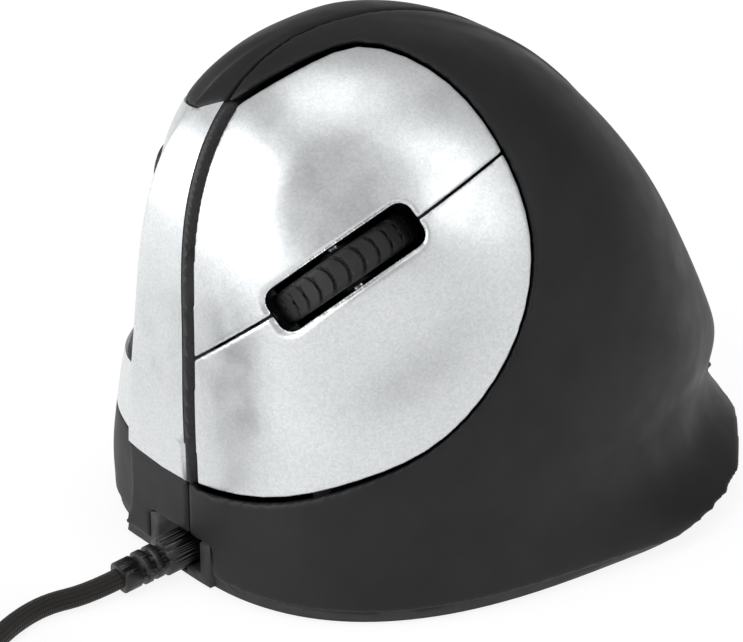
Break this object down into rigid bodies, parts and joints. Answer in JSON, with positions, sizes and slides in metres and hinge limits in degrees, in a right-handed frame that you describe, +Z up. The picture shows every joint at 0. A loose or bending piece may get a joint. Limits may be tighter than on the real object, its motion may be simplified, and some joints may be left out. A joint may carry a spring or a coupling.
{
  "type": "vertical ergonomic mouse",
  "caption": "Left-handed vertical ergonomic computer mouse with tilted finger buttons, scroll wheel, thumb buttons and a braided cable that ends in a coil and a USB plug.",
  "frame": {"origin": "on the desk under the middle of the mouse, without its cable", "axes": "+Z up; the cable leaves towards -Y; the fingers lie on the +X side and the thumb on the -X side"},
  "size_m": [0.1147, 0.2113, 0.0868],
  "materials": {
    "dark_grey": "fine texture",
    "slip_black": "satin low-friction pads",
    "soft_black": "soft-touch",
    "grain_black": "fine grain",
    "silver": "fine metallic lacquer",
    "rubber_dark": "fine matte grain",
    "gloss_grey": "satin gloss",
    "frame_black": "moulded",
    "screw_steel": "zinc plated",
    "pin_steel": "ground",
    "wheel_rubber": "moulded tread",
    "board_green": "solder mask",
    "switch_black": "moulded",
    "plunger_white": "moulded",
    "chip_black": "moulded",
    "clear_lens": "clear",
    "boot_black": "moulded satin",
    "braid": "braided sleeve",
    "tie_black": "woven band",
    "plug_steel": "bright plate",
    "tongue_white": "moulded"
  },
  "bodies": {
    "mouse_body": {"base_plate": "dark_grey", "glide_feet": "slip_black", "finger_shell": "soft_black", "thumb_shell": "soft_black", "ridge_strip": "grain_black", "thumb_panel": "silver", "thumb_rest": "rubber_dark", "inner_frame": "frame_black", "base_screws": "screw_steel", "frame_screws": "screw_steel", "hinge_pin": "pin_steel", "carrier_pin": "pin_steel", "finger_board": "board_green", "thumb_board": "board_green", "main_board": "board_green", "index_switch": "switch_black", "middle_switch": "switch_black", "click_switch": "switch_black", "forward_switch": "switch_black", "back_switch": "switch_black", "board_connector": "plunger_white", "controller_chip": "chip_black", "sensor_chip": "chip_black", "sensor_lens": "clear_lens", "strain_relief": "boot_black", "inner_cable": "boot_black", "finger_lead": "boot_black", "thumb_lead": "boot_black", "cable": "braid", "cable_coil": "braid", "coil_tie": "tie_black", "plug_grip": "boot_black", "plug_shell": "plug_steel", "plug_tongue": "tongue_white"},
    "index_button": {"index_button": "silver"},
    "middle_button": {"middle_button": "silver"},
    "forward_button": {"forward_button": "gloss_grey"},
    "back_button": {"back_button": "gloss_grey"},
    "wheel": {"wheel_hub": "frame_black", "wheel_axle": "pin_steel", "wheel_tyre": "wheel_rubber"},
    "wheel_cradle": {"wheel_carrier": "frame_black", "scroll_encoder": "switch_black"},
    "index_plunger": {"index_plunger": "plunger_white"},
    "middle_plunger": {"middle_plunger": "plunger_white"},
    "click_plunger": {"click_plunger": "plunger_white"},
    "forward_plunger": {"forward_plunger": "plunger_white"},
    "back_plunger": {"back_plunger": "plunger_white"}
  },
  "joints": [
    {"name": "index_button_press", "type": "hinge", "parent": "mouse_body", "child": "index_button", "pos_m": [0.02125, -0.01949, 0.0654], "axis": [0.6513, 0.1948, -0.7334], "range_deg": [0, 1.2], "stiffness_Nm_per_rad": 1.2},
    {"name": "middle_button_press", "type": "hinge", "parent": "mouse_body", "child": "middle_button", "pos_m": [0.02125, -0.01949, 0.0654], "axis": [0.6513, 0.1948, -0.7334], "range_deg": [0, 1.2], "stiffness_Nm_per_rad": 1.2},
    {"name": "index_plunger_travel", "type": "slide", "parent": "mouse_body", "child": "index_plunger", "axis": [-0.6826, 0.5727, -0.454], "range_m": [0, 0.0008]},
    {"name": "middle_plunger_travel", "type": "slide", "parent": "mouse_body", "child": "middle_plunger", "axis": [-0.6826, 0.5727, -0.454], "range_m": [0, 0.0008]},
    {"name": "wheel_click", "type": "hinge", "parent": "mouse_body", "child": "wheel_cradle", "pos_m": [0.0198, -0.02364, 0.06301], "axis": [0.6513, 0.1948, -0.7334], "range_deg": [0, 1.3], "stiffness_Nm_per_rad": 1},
    {"name": "wheel_spin", "type": "hinge", "parent": "wheel_cradle", "child": "wheel", "pos_m": [0.01449, -0.03639, 0.05491], "axis": [-0.6513, -0.1948, 0.7334], "continuous": true},
    {"name": "click_plunger_travel", "type": "slide", "parent": "mouse_body", "child": "click_plunger", "axis": [-0.6826, 0.5727, -0.454], "range_m": [0, 0.0008]},
    {"name": "forward_button_press", "type": "slide", "parent": "mouse_body", "child": "forward_button", "axis": [0.8365, 0.483, -0.2588], "range_m": [0, 0.0007], "stiffness_N_per_m": 300},
    {"name": "back_button_press", "type": "slide", "parent": "mouse_body", "child": "back_button", "axis": [0.8365, 0.483, -0.2588], "range_m": [0, 0.0007], "stiffness_N_per_m": 300},
    {"name": "forward_plunger_travel", "type": "slide", "parent": "mouse_body", "child": "forward_plunger", "axis": [0.8365, 0.483, -0.2588], "range_m": [0, 0.0008]},
    {"name": "back_plunger_travel", "type": "slide", "parent": "mouse_body", "child": "back_plunger", "axis": [0.8365, 0.483, -0.2588], "range_m": [0, 0.0008]}
  ],
  "couplings": [
    {"joint": "index_plunger_travel", "follows": "index_button_press", "m_per_rad": 0.032},
    {"joint": "middle_plunger_travel", "follows": "middle_button_press", "m_per_rad": 0.032},
    {"joint": "click_plunger_travel", "follows": "wheel_click", "m_per_rad": 0.0302},
    {"joint": "forward_plunger_travel", "follows": "forward_button_press", "ratio": 1},
    {"joint": "back_plunger_travel", "follows": "back_button_press", "ratio": 1}
  ]
}
